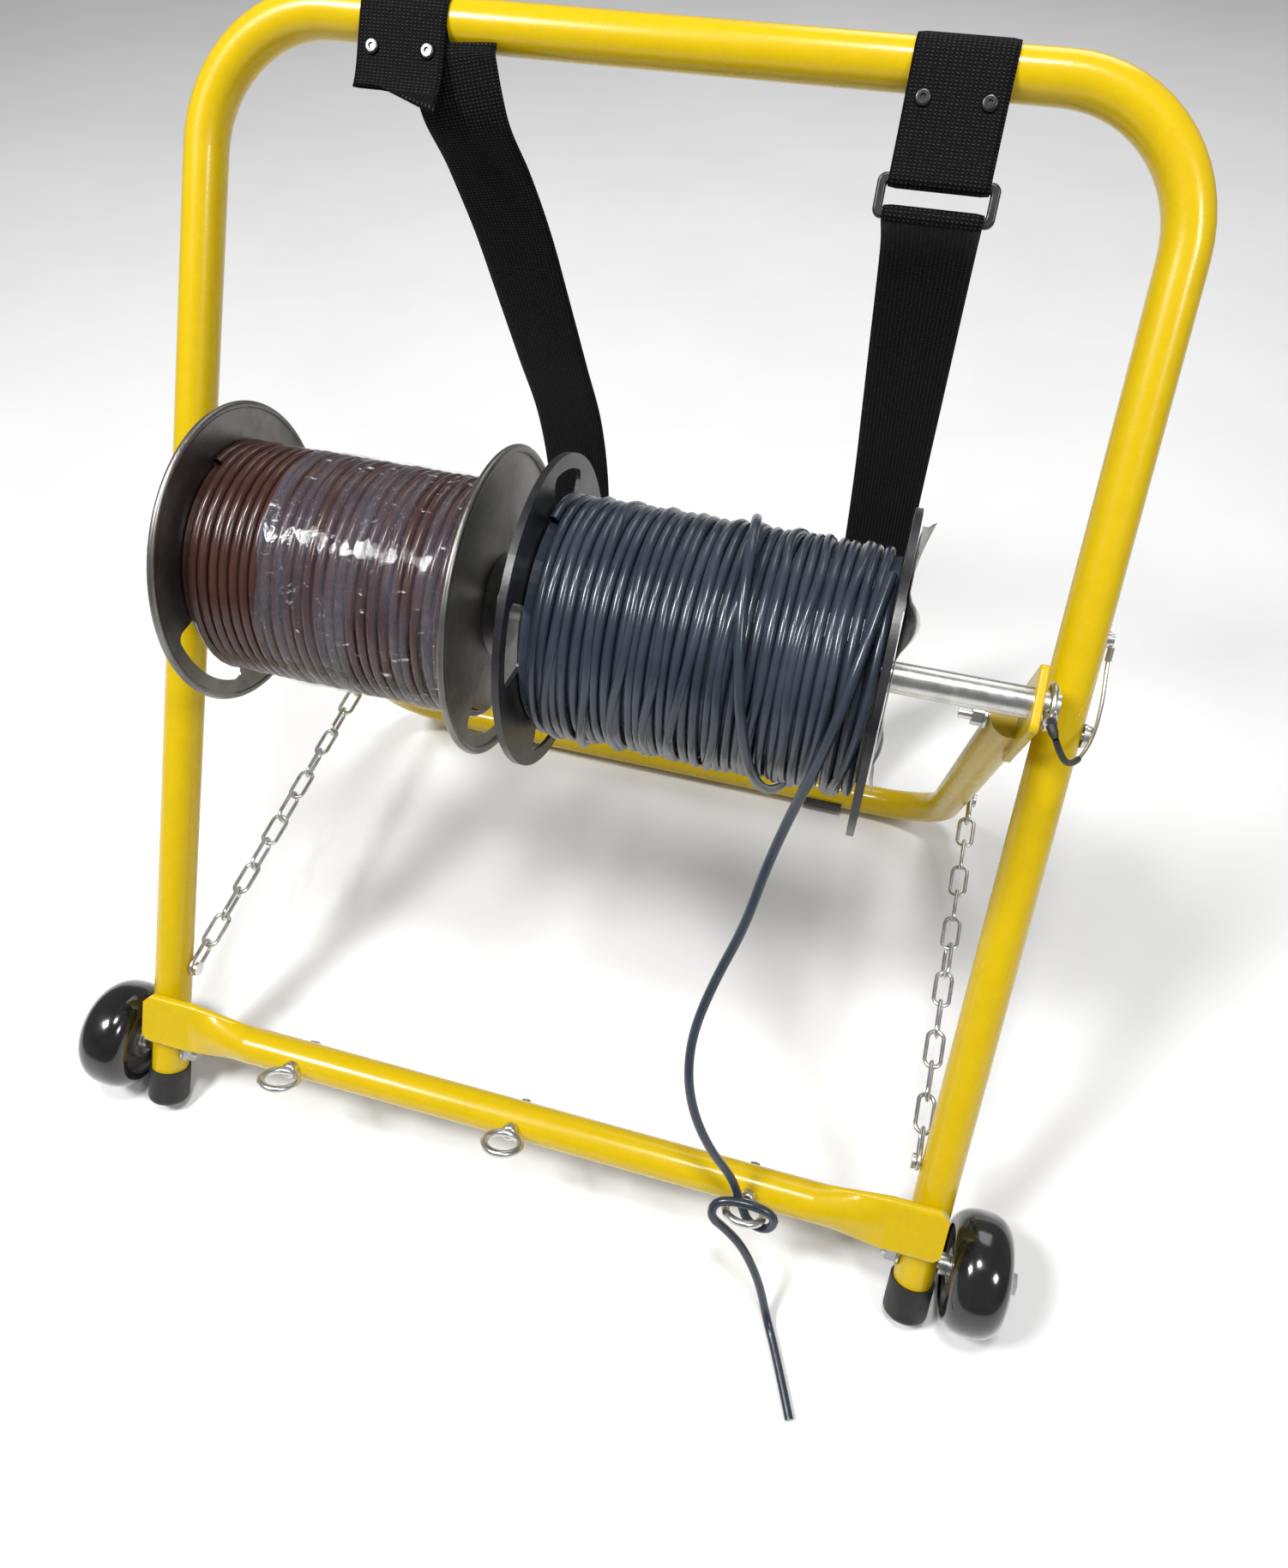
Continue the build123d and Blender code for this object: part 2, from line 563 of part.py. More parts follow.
def chain_screw(face_x, out, y, z):
    """A screw whose shank stands in the tube wall and holds the chain's last link under its head."""
    shank = rod(face_x - out * 2, face_x + out * 4.2, CHAIN_SCREW_R, y, z)
    return shank + rod(face_x + out * 4.0, face_x + out * 6.2, 5.0, y, z)


# ---- cords ----
def corner_radii(points):
    """Each corner's arc is as large as its two runs allow."""
    radii = []
    for a, b, c in zip(points, points[1:], points[2:]):
        before, after = Vector(*b) - Vector(*a), Vector(*c) - Vector(*b)
        half_turn = math.radians(before.get_angle(after)) / 2
        radii.append(0.45 * min(before.length, after.length) / math.tan(half_turn))
    return radii


def cord(name, points, radius):
    radii = corner_radii(points)
    path = FilletPolyline(*points, radius=radii)
    tube = sweep(Plane(path @ 0, z_dir=path % 0) * Circle(radius), path=path)
    expected = math.pi * radius**2 * path.length
    print(name, "length", round(path.length, 1), "volume ratio", round(tube.volume / expected, 4))
    print("  radii", [round(r, 1) for r in radii])
    return tube


def hitch_point(x, y, z):
    """A point beside the right guide ring, given from the ring's centre in the front frame's axes."""
    back, up = turn(EYE_Y + y, -CROSSBAR_DOWN + z, -LEAN)
    return EYE_X[2] + x, back, up


CORD_FLOOR = -PIVOT_Z + WIRE_R + 0.1
WIRE_TAIL = [
    (167.0, -30.0, 113.5),
    (162.0, -69.0, 98.0),
    (156.0, -92.0, 68.0),
    (149.0, -99.5, 36.0),
    (141.0, -104.0, 3.0),
    (134.0, -118.0, -27.0),
    (129.0, -137.0, -56.0),
    (118.0, -156.0, -88.0),
    (111.0, -176.0, -117.0),
    (113.0, -194.0, -139.0),
    (121.0, -206.0, -163.0),
    (134.0, -214.0, -188.0),
    hitch_point(-12, 0, 22),
    hitch_point(-3, 3.6, 2),
    hitch_point(4, 3, -9.5),
    hitch_point(16.5, 1, -9),
    hitch_point(20, -2.5, 2),
    hitch_point(12, -4.5, 9),
    hitch_point(-10, -4.8, 9),
    hitch_point(-19, -5, 4),
    hitch_point(-19.5, -5.5, -6),
    (150.0, -235.5, -250.0),
    (161.0, -238.0, -263.0),
    (171.0, -243.0, -281.0),
    (180.0, -250.0, -302.0),
    (188.0, -261.0, CORD_FLOOR),
    (199.0, -282.0, CORD_FLOOR),
    (214.0, -315.0, CORD_FLOOR),
]


def leg_point(x, down, back):
    """A point given by its distance down the leg from the top bar and behind the frame's plane."""
    y, z = turn(back, TOP_UP - down, -LEAN)
    return x, y, z


LANYARD = [
    leg_point(263.9, 313.1, -63.8),
    leg_point(268.5, 321.0, -61.0),
    leg_point(275.5, 326.5, -50.0),
    leg_point(283.0, 325.0, -34.0),
    leg_point(289.5, 314.5, -18.5),
    leg_point(291.6, 300.0, -7.0),
    leg_point(291.4, 286.5, 0.8),
    leg_point(290.5, 276.2, 4.0),
]


def lanyard_heat_shrink():
    """A short black sleeve from the pin's head to the cable, thick at the pin and thin at the cable."""
    top = Vector(*leg_point(260.4, 306.6, -59.5))
    end = Vector(*LANYARD[0])
    along = (end - top).normalized()
    wide = Plane(top, z_dir=along) * Circle(2.7)
    middle = Plane(top + (end - top) * 0.5, z_dir=along) * Circle(2.5)
    narrow = Plane(end - along * 0.9, z_dir=along) * Circle(1.6)
    return loft([wide, middle, narrow], ruled=True)


def lanyard_terminal():
    """An eye terminal and its screw on the outer side of the right leg."""
    face = LEG_X + TUBE_R
    eye = sleeve(face + 0.2, face + 1.7, 4.6, 2.1, 4.0, 54.0)
    screw = rod(face - 2, face + 2, 2.0, 4.0, 54.0) + rod(face + 1.8, face + 3.9, 3.6, 4.0, 54.0)
    ferrule = Location((290.5, 4.0, 46.4)) * Cylinder(1.9, 7.6)
    return Compound(children=[eye, screw, ferrule])


SIDES = ((-1, "left"), (1, "right"))

save("front_frame", front_frame(), FRONT)
save("lower_crossbar", lower_crossbar(), FRONT)
for x, name in zip(EYE_X, EYE_NAMES):
    save(f"guide_ring_{name}", guide_ring(x), FRONT)
save("guide_ring_nuts", guide_ring_nuts(), FRONT)
for side, name in SIDES:
    save(f"leg_cap_{name}", leg_cap(side), FRONT)
    save(f"wheel_bolt_{name}", wheel_bolt(side), FRONT)
    save(f"tyre_{name}", tyre(side), FRONT)
    save(f"wheel_hub_{name}", wheel_hub(side), FRONT)
    save(f"wheel_bearings_{name}", bearings(side), FRONT)
    save(f"pivot_bolt_{name}", pivot_bolt(side), FRONT)
    save(f"strap_loop_{name}", strap_loop(side), FRONT)
    save(f"axle_plate_{name}", axle_plate(side), REAR)
    save(f"rear_foot_{name}", rear_foot(side), WORLD)
    save(f"ring_pin_{name}", ring_pin(side), REAR)
    save(f"pin_ring_{name}", pin_ring(side), REAR)
save("wheel_fasteners", wheel_fasteners(), FRONT)
save("pivot_fasteners", pivot_fasteners(), FRONT)
save("strap_rivets", strap_rivets(), FRONT)
save("strap_slider", strap_slider(), FRONT)
front_screw = chain_screw(LEG_X - TUBE_R, -1, FRONT_SCREW_Y, -FRONT_SCREW_DOWN)
save("front_chain_screws", both_sides(front_screw), FRONT)
save("lanyard_terminal", lanyard_terminal(), FRONT)
save("lanyard_heat_shrink", lanyard_heat_shrink(), WORLD)
save("lanyard_cable", cord("lanyard_cable", LANYARD, CABLE_R), WORLD)
save("grey_wire_tail", cord("grey_wire_tail", WIRE_TAIL, WIRE_R), WORLD)

save("rear_frame", bar_with_rivet_holes(rear_frame()), REAR)
save("rear_chain_screws", both_sides(chain_screw(REAR_LEG_X + TUBE_R, 1, 0, -REAR_SCREW_DOWN)), REAR)
save("strap_end_rivets", strap_end_rivets(), WORLD)
save("shoulder_strap_left", left_strap(), WORLD)
save("shoulder_strap_right", right_strap(), WORLD)
save("chain_right", chain(), WORLD)
save("chain_left", mirror(chain(), about=Plane.YZ), WORLD)
save("spool_axle", spool_axle(), REAR)

for name, ends, flange in (("brown", BROWN_X, steel_flange), ("grey", GREY_X, plastic_flange)):
    save(f"{name}_spool_flange_left", flange(ends[0], -1), REAR)
    save(f"{name}_spool_flange_right", flange(ends[1], 1), REAR)
    save(f"{name}_spool_core", spool_core(*ends), REAR)
    save(f"{name}_wire_winding", winding(*ends), REAR)
save("brown_spool_film", spool_film(), REAR)
save("grey_spool_label", spool_label(), REAR)
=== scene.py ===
import json
import math
import random

import bmesh
import bpy
from mathutils import Matrix, Vector, noise


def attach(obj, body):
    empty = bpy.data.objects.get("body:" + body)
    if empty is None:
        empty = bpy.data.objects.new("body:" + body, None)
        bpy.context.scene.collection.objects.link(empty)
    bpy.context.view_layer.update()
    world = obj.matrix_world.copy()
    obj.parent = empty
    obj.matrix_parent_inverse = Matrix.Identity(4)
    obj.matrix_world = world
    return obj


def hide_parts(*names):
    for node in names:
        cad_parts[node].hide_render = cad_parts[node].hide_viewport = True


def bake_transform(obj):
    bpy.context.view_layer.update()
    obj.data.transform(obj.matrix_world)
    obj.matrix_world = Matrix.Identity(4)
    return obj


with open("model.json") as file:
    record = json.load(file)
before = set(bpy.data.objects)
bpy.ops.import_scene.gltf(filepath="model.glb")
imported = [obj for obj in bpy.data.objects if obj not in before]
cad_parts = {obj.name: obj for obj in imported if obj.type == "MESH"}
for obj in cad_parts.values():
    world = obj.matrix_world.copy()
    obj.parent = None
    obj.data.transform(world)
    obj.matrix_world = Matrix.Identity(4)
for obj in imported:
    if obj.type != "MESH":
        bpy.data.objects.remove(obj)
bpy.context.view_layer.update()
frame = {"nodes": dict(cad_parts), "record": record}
NODES = frame["nodes"]

FRONT, REAR = "front_stand", "rear_stand"
PIVOT = Vector((0, -0.008059, 0.326969))
LEAN = math.radians(36)
SPLAY = math.radians(30)
TOP_UP = 318.5
BAR_Y, BAR_Z = 180.0, -311.77
X = Vector((1, 0, 0))


def mm(x, y, z):
    """A point in millimetres from the fold pivot, as metres in the row frame."""
    return PIVOT + Vector((x, y, z)) / 1000


def front(x, y, z):
    """A point in the front frame's own axes, in millimetres from the pivot."""
    c, s = math.cos(LEAN), math.sin(LEAN)
    return mm(x, y * c + z * s, z * c - y * s)


def leg(x, down, back):
    """A point by its distance down the leg from the top bar and behind the frame's plane."""
    return front(x, back, TOP_UP - down)


def rear(x, y, z):
    """A point in the rear stand's own axes, in millimetres from the pivot."""
    c, s = math.cos(SPLAY), math.sin(SPLAY)
    return mm(x, y * c - z * s, y * s + z * c)


AXLE = rear(0, 0, 46)


def round_axle(x, radius, angle):
    """A point round the spool axle in millimetres: angle 0 is the top, and positive angles go to the back."""
    return AXLE + Vector((x, radius * math.sin(angle), radius * math.cos(angle))) / 1000


# ---------------------------------------------------------------- camera
eye = mm(169.4, -456.9, 462.0)
right = Vector((0.961, 0.276, -0.012)).normalized()
ahead = Vector((-0.182, 0.603, -0.777)).normalized()
up = right.cross(ahead).normalized()
right = ahead.cross(up).normalized()
camera = bpy.data.objects.new("camera", bpy.data.cameras.new("camera"))
camera.data.sensor_width = 36
camera.data.lens = 25.25
camera.data.clip_start = 0.01
camera.matrix_world = Matrix((right, up, -ahead)).transposed().to_4x4()
camera.location = eye
bpy.context.collection.objects.link(camera)
bpy.context.scene.camera = camera


# ---------------------------------------------------------------- curves
def new_object(name, data, material=None):
    made = bpy.data.objects.new(name, data)
    bpy.context.collection.objects.link(made)
    if material:
        data.materials.append(material)
    return made


def nurbs(name, points, radius, material=None, round_steps=5):
    """A smooth tube with these control points."""
    curve = bpy.data.curves.new(name, "CURVE")
    curve.dimensions = "3D"
    curve.resolution_u = 8
    curve.bevel_depth = radius
    curve.bevel_resolution = round_steps
    curve.use_fill_caps = True
    spline = curve.splines.new("NURBS")
    spline.points.add(len(points) - 1)
    for point, place in zip(spline.points, points):
        point.co = (*place, 1)
    spline.order_u = 3
    spline.use_endpoint_u = True
    return new_object(name, curve, material)


def evaluated_mesh(made):
    """A new mesh of the object as it stands."""
    bpy.context.view_layer.update()
    graph = bpy.context.evaluated_depsgraph_get()
    return bpy.data.meshes.new_from_object(made.evaluated_get(graph))


def centre_line(curve_object):
    """The points along a curve object's own line."""
    depth = curve_object.data.bevel_depth
    curve_object.data.bevel_depth = 0
    shadow = evaluated_mesh(curve_object)
    points = [vertex.co.copy() for vertex in shadow.vertices]
    bpy.data.meshes.remove(shadow)
    curve_object.data.bevel_depth = depth
    return points


def to_mesh(made):
    """Turn a curve object into a mesh object of the same name."""
    data = evaluated_mesh(made)
    name = made.name
    bpy.data.objects.remove(made)
    data.name = name
    return new_object(name, data)


def smooth(made):
    for polygon in made.data.polygons:
        polygon.use_smooth = True
    return made


def hitch(x, y, z):
    """A point beside the right guide ring, from the ring's centre in the front frame's axes."""
    return front(160 + x, -46 + y, -323.8 + z)


# The height of the wire's middle where it lies on the floor, in metres.
FLOOR = 0.0029
WIRE_TAIL = [
    mm(167, -30, 113.5),
    mm(162, -69, 98),
    mm(156, -92, 68),
    mm(149, -99.5, 36),
    mm(141, -104, 3),
    mm(134, -118, -27),
    mm(129, -137, -56),
    mm(118, -156, -88),
    mm(111, -176, -117),
    mm(113, -194, -139),
    mm(121, -206, -163),
    mm(134, -214, -188),
    hitch(-12, 0, 22),
    hitch(-3, 3.6, 2),
    hitch(4, 3, -9.5),
    hitch(16.5, 1, -9),
    hitch(20, -2.5, 2),
    hitch(12, -4.5, 9),
    hitch(-10, -4.8, 9),
    hitch(-19, -5, 4),
    hitch(-19.5, -5.5, -6),
    mm(150, -235.5, -250),
    mm(161, -238, -263),
    mm(171, -243, -281),
    mm(180, -250, -302),
    mm(188, -261, (FLOOR - PIVOT.z) * 1000),
    mm(199, -282, (FLOOR - PIVOT.z) * 1000),
    mm(214, -315, (FLOOR - PIVOT.z) * 1000),
]
LANYARD = [
    leg(263.9, 313.1, -63.8),
    leg(268.5, 321, -61),
    leg(275.5, 326.5, -50),
    leg(283, 325, -34),
    leg(289.5, 314.5, -18.5),
    leg(291.6, 300, -7),
    leg(291.4, 286.5, 0.8),
    leg(290.5, 276.2, 4),
]


# ---------------------------------------------------------------- materials
class Paint:
    """Builds one procedural material: colour that varies, roughness and bump."""

    def __init__(self, name, roughness=0.5, metallic=0.0, **sockets):
        self.material = bpy.data.materials.new(name)
        self.material.use_nodes = True
        self.tree = self.material.node_tree
        self.shader = self.tree.nodes["Principled BSDF"]
        self.shader.inputs["Roughness"].default_value = roughness
        self.shader.inputs["Metallic"].default_value = metallic
        for key, value in sockets.items():
            self.shader.inputs[key.replace("_", " ")].default_value = value
        self.place = self.node("ShaderNodeTexCoord").outputs["Object"]
        self.bumps = None

    def node(self, kind, **settings):
        made = self.tree.nodes.new(kind)
        for key, value in settings.items():
            setattr(made, key, value)
        return made

    def link(self, a, b):
        self.tree.links.new(a, b)

    def noise(self, scale, detail=4.0, rough=0.55, place=None, stretch=None):
        made = self.node("ShaderNodeTexNoise")
        made.inputs["Scale"].default_value = scale
        made.inputs["Detail"].default_value = detail
        made.inputs["Roughness"].default_value = rough
        source = place or self.place
        if stretch:
            mapping = self.node("ShaderNodeMapping")
            mapping.inputs["Scale"].default_value = stretch
            self.link(source, mapping.inputs["Vector"])
            source = mapping.outputs["Vector"]
        self.link(source, made.inputs["Vector"])
        return made.outputs["Fac"]

    def ramp(self, value, stops):
        made = self.node("ShaderNodeValToRGB")
        ramp = made.color_ramp
        while len(ramp.elements) < len(stops):
            ramp.elements.new(0.5)
        for element, (position, colour) in zip(ramp.elements, stops):
            element.position = position
            element.color = (*colour, 1)
        self.link(value, made.inputs["Fac"])
        return made.outputs["Color"]

    def colour(self, value, stops):
        self.link(self.ramp(value, stops), self.shader.inputs["Base Color"])
        return self

    def rough(self, value, low, high):
        made = self.node("ShaderNodeMapRange")
        made.inputs["To Min"].default_value = low
        made.inputs["To Max"].default_value = high
        self.link(value, made.inputs["Value"])
        self.link(made.outputs["Result"], self.shader.inputs["Roughness"])
        return self

    def bump(self, value, strength, distance=0.001):
        made = self.node("ShaderNodeBump")
        made.inputs["Strength"].default_value = strength
        made.inputs["Distance"].default_value = distance
        self.link(value, made.inputs["Height"])
        if self.bumps:
            self.link(self.bumps, made.inputs["Normal"])
        self.bumps = made.outputs["Normal"]
        self.link(self.bumps, self.shader.inputs["Normal"])
        return self

    def math(self, kind, a, b=None):
        made = self.node("ShaderNodeMath", operation=kind)
        for socket, value in zip(made.inputs, (a, b)):
            if isinstance(value, (int, float)):
                socket.default_value = value
            elif value is not None:
                self.link(value, socket)
        return made.outputs[0]


def plain(name, dark, light, roughness, metallic=0.0, scale=40.0, bump=0.1, spread=0.1, **sockets):
    paint = Paint(name, roughness, metallic, **sockets)
    value = paint.noise(scale)
    paint.colour(value, [(0.35, dark), (0.65, light)])
    paint.rough(paint.noise(scale * 3), max(roughness - spread, 0.03), roughness + spread)
    if bump:
        paint.bump(paint.noise(scale * 12, 3), bump, 0.0004)
    return paint.material


def yellow_paint():
    """Powder coat with a faint orange peel and small scuffs."""
    paint = Paint("yellow_powder_coat", 0.25, Specular_IOR_Level=0.35, Coat_Weight=0.2, Coat_Roughness=0.08)
    scuffs = paint.noise(90, 8, 0.75)
    stops = [(0.23, (0.28, 0.17, 0.0)), (0.28, (0.54, 0.37, 0.0))]
    stops += [(0.6, (0.58, 0.4, 0.0)), (0.8, (0.61, 0.42, 0.0))]
    paint.colour(scuffs, stops)
    paint.rough(paint.noise(35), 0.2, 0.34)
    paint.bump(paint.noise(700, 2), 0.12, 0.0004)
    return paint.material


def webbing():
    """Black woven webbing: crosswise ribs and lengthwise cords. UV is in metres."""
    paint = Paint("black_webbing", 0.75, Specular_IOR_Level=0.1)
    uv = paint.node("ShaderNodeSeparateXYZ")
    paint.link(paint.node("ShaderNodeTexCoord").outputs["UV"], uv.inputs[0])
    cord_pitch, rib_pitch = 0.0024, 0.0017
    across = paint.math("SINE", paint.math("MULTIPLY", uv.outputs["X"], 2 * math.pi / cord_pitch))
    along = paint.math("SINE", paint.math("MULTIPLY", uv.outputs["Y"], 2 * math.pi / rib_pitch))
    weave = paint.math("MULTIPLY", across, along)
    height = paint.math("ADD", paint.math("MULTIPLY", weave, 0.35), paint.math("MULTIPLY", along, 0.3))
    # The colour lightens on the raised weave and in random specks: painted sheen on the high points of the
    # ribs, mixed with a random speckle in the black.
    speckle_and_sheen = paint.math("ADD", height, paint.math("MULTIPLY", paint.noise(900, 2), 0.8))
    stops = [(0.2, (0.001, 0.001, 0.0012)), (0.7, (0.0035, 0.0035, 0.004)), (1.0, (0.04, 0.04, 0.045))]
    paint.colour(speckle_and_sheen, stops)
    paint.bump(height, 0.6, 0.0006)
    return paint.material


def wire_paint(name, dark, light):
    """Glossy extruded insulation with dull drag marks."""
    paint = Paint(name, 0.2, Specular_IOR_Level=0.5)
    paint.colour(paint.noise(30), [(0.3, dark), (0.7, light)])
    paint.rough(paint.noise(120, 6), 0.12, 0.34)
    paint.bump(paint.noise(260, 2), 0.08, 0.0006)
    return paint.material


def clear_film():
    """Thin clear stretch film: see-through, with bluish folds, bumped fine crinkles, and painted glints as
    bright near-white streaks along the crinkles.
    """
    paint = Paint("clear_film", 0.1, Specular_IOR_Level=1.0, Coat_Weight=1.0, Coat_Roughness=0.05)
    folds = paint.noise(16, 4, 0.5, stretch=(5.0, 0.5, 0.5))
    crinkle = paint.noise(120, 5, 0.75, stretch=(0.5, 1.3, 1.3))
    veil = paint.node("ShaderNodeMapRange")
    for key, value in (("From Min", 0.42), ("From Max", 0.7), ("To Min", 0.03), ("To Max", 0.34)):
        veil.inputs[key].default_value = value
    paint.link(folds, veil.inputs["Value"])
    # Painted glints: where the crinkle noise peaks, the film turns near-opaque and near-white, a painted
    # highlight standing in for reflected light.
    painted_glint = paint.node("ShaderNodeMapRange")
    for key, value in (("From Min", 0.61), ("From Max", 0.67), ("To Min", 0.0), ("To Max", 0.85)):
        painted_glint.inputs[key].default_value = value
    paint.link(crinkle, painted_glint.inputs["Value"])
    cover = paint.math("MAXIMUM", veil.outputs["Result"], painted_glint.outputs["Result"])
    paint.link(cover, paint.shader.inputs["Alpha"])
    paint.colour(painted_glint.outputs["Result"], [(0.0, (0.11, 0.115, 0.16)), (0.85, (0.72, 0.72, 0.76))])
    paint.bump(folds, 0.6, 0.004)
    paint.bump(crinkle, 1.0, 0.003)
    return paint.material


def pressed_steel():
    """Dull grey sheet steel with turning marks round the disc."""
    paint = Paint("pressed_steel", 0.38, 1.0)
    axis = paint.node("ShaderNodeVectorMath", operation="SUBTRACT")
    axis.inputs[1].default_value = AXLE
    paint.link(paint.place, axis.inputs[0])
    flat = paint.node("ShaderNodeVectorMath", operation="MULTIPLY")
    flat.inputs[1].default_value = (0, 1, 1)
    paint.link(axis.outputs[0], flat.inputs[0])
    radius = paint.node("ShaderNodeVectorMath", operation="LENGTH")
    paint.link(flat.outputs[0], radius.inputs[0])
    rings = paint.node("ShaderNodeTexNoise", noise_dimensions="1D")
    rings.inputs["Scale"].default_value = 900
    paint.link(radius.outputs["Value"], rings.inputs["W"])
    stain = paint.noise(28, 6, 0.6)
    paint.colour(stain, [(0.3, (0.13, 0.125, 0.12)), (0.7, (0.3, 0.29, 0.28))])
    paint.rough(paint.noise(60), 0.28, 0.5)
    paint.bump(rings.outputs["Fac"], 0.08, 0.0004)
    return paint.material


def zinc():
    paint = Paint("zinc_plate", 0.3, 1.0)
    paint.colour(paint.noise(60, 6), [(0.3, (0.5, 0.5, 0.49)), (0.7, (0.78, 0.78, 0.76))])
    paint.rough(paint.noise(200, 5), 0.18, 0.42)
    paint.bump(paint.noise(500, 3), 0.1, 0.0003)
    return paint.material


def torn_paper():
    paint = Paint("torn_label", 0.8)
    stops = [(0.35, (0.2, 0.2, 0.2)), (0.5, (0.42, 0.42, 0.41)), (0.65, (0.6, 0.6, 0.58))]
    paint.colour(paint.noise(70, 8, 0.7), stops)
    paint.bump(paint.noise(180, 5), 0.6, 0.0008)
    return paint.material


YELLOW = yellow_paint()
ZINC = zinc()
STEEL = pressed_steel()
RUBBER = plain("black_rubber", (0.006, 0.006, 0.006), (0.02, 0.02, 0.02), 0.55, scale=60, bump=0.25)
TYRE = plain(
    "black_tyre",
    (0.003, 0.003, 0.003),
    (0.012, 0.012, 0.012),
    0.16,
    scale=50,
    bump=0.08,
    spread=0.08,
    Coat_Weight=0.6,
    Coat_Roughness=0.06,
)
HUB = plain("grey_hub", (0.06, 0.06, 0.06), (0.11, 0.11, 0.105), 0.5, scale=80, bump=0.2)
PLASTIC = plain("black_plastic", (0.006, 0.006, 0.007), (0.02, 0.02, 0.022), 0.32, scale=45, bump=0.12)
NICKEL = plain("dull_nickel", (0.04, 0.04, 0.04), (0.1, 0.1, 0.1), 0.3, metallic=1.0, scale=60, bump=0.1)
CARDBOARD = plain("cardboard", (0.2, 0.13, 0.07), (0.33, 0.23, 0.13), 0.85, scale=120, bump=0.3)
WEB = webbing()
GREY_WIRE = wire_paint("grey_wire", (0.018, 0.025, 0.038), (0.034, 0.044, 0.062))
BROWN_WIRE = wire_paint("brown_wire", (0.03, 0.0115, 0.009), (0.058, 0.023, 0.018))
FILM = clear_film()
PAPER = torn_paper()

for slot_name, material in (
    ("yellow_paint", YELLOW),
    ("zinc", ZINC),
    ("black_rubber", RUBBER),
    ("wheel_tyre", TYRE),
    ("wheel_hub", HUB),
    ("webbing", WEB),
    ("black_plastic", PLASTIC),
    ("pressed_steel", STEEL),
    ("brown_wire", BROWN_WIRE),
    ("grey_wire", GREY_WIRE),
    ("clear_film", FILM),
    ("label_paper", PAPER),
    ("cardboard", CARDBOARD),
):
    for part in frame["record"]["subparts"]:
        if part["material_slot"] == slot_name:
            for slot in NODES[part["node"]].material_slots:
                slot.material = material
for node in ("strap_rivets", "strap_end_rivets"):
    for slot in NODES[node].material_slots:
        slot.material = NICKEL


# ---------------------------------------------------------------- cords
tail = nurbs("grey_wire_end", WIRE_TAIL, 0.0028, GREY_WIRE)
tail_line = centre_line(tail)
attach(tail, FRONT)
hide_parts("grey_wire_tail")

lanyard = nurbs("lanyard", LANYARD, 0.0011, ZINC)
lanyard_line = centre_line(lanyard)
lanyard = smooth(to_mesh(lanyard))
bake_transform(lanyard)
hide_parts("lanyard_cable")

# The black rubber sleeve covers the first two fifths of the lanyard: heat shrink over the crimp at the ring
# end, and past it a painted dark reflection along the cable.
covered = lanyard_line[: len(lanyard_line) * 4 // 10]
shrink_and_dark_reflection = nurbs("lanyard_shrink_and_dark_reflection", covered, 0.0017, RUBBER)
shrink_and_dark_reflection = smooth(to_mesh(shrink_and_dark_reflection))
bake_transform(shrink_and_dark_reflection)


# ---------------------------------------------------------------- wire windings
def winding(
    name, body, node, material, x1, x2, outer, wire, layers, seed, loose, sag=0.0, strays=()
):
    """Turns of wire side by side round a plain drum of the same colour, with a loose, wandering lie.

    layers holds (lift, pitch, wander) for each layer, and strays holds loose turns as (x, degrees, lift).
    """
    rng = random.Random(seed)
    curve = bpy.data.curves.new(name, "CURVE")
    curve.dimensions = "3D"
    curve.bevel_depth = wire / 2000
    curve.bevel_resolution = 3
    steps = 40
    for layer, (lift, pitch, wander) in enumerate(layers):
        turns = int((x2 - x1 - wire) / pitch)
        points = []
        shift = rng.uniform(0, 40)
        for i in range(turns * steps + 1):
            turn = i / steps
            angle = 2 * math.pi * turn
            x = x1 + wire / 2 + (x2 - x1 - wire) * turn / turns
            place = Vector((turn * 1.7 + shift, math.cos(angle) * 0.8, math.sin(angle) * 0.8))
            drift = noise.noise(place)
            x += loose * wander * drift
            x = min(max(x, x1 + wire / 2), x2 - wire / 2)
            r = outer - wire / 2 + lift
            r += 0.7 * noise.noise(Vector((turn * 2.3 + shift, layer * 5.0, angle * 0.3)))
            below = max(0.0, -math.cos(angle - 0.25))
            r += sag * below * (0.5 + noise.noise(Vector((turn * 3.1, shift, 2.0))))
            points.append(round_axle(x, r, angle))
        spline = curve.splines.new("POLY")
        spline.points.add(len(points) - 1)
        for point, place in zip(spline.points, points):
            point.co = (*place, 1)
        spline.use_smooth = True
    for spread in strays:
        spline = curve.splines.new("NURBS")
        spline.points.add(len(spread) - 1)
        for point, (x, degrees, lift) in zip(spline.points, spread):
            place = round_axle(x, outer + wire / 2 + lift, math.radians(degrees))
            point.co = (*place, 1)
        spline.order_u = 4
        spline.use_endpoint_u = True
        spline.resolution_u = 8
    made = new_object(name, curve, material)
    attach(made, body)
    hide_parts(node)

    mesh = bpy.data.meshes.new(name + "_inner")
    bm = bmesh.new()
    drum = (outer - wire * 0.8) / 1000
    long = (x2 - x1 - 1) / 1000
    bmesh.ops.create_cone(bm, cap_ends=True, segments=64, radius1=drum, radius2=drum, depth=long)
    middle = Matrix.Translation(AXLE + Vector(((x1 + x2) / 2000, 0, 0)))
    bmesh.ops.transform(bm, matrix=middle @ Matrix.Rotation(math.pi / 2, 4, "Y"), verts=bm.verts)
    bm.to_mesh(mesh)
    bm.free()
    inner = new_object(name + "_inner", mesh, material)
    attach(inner, body)


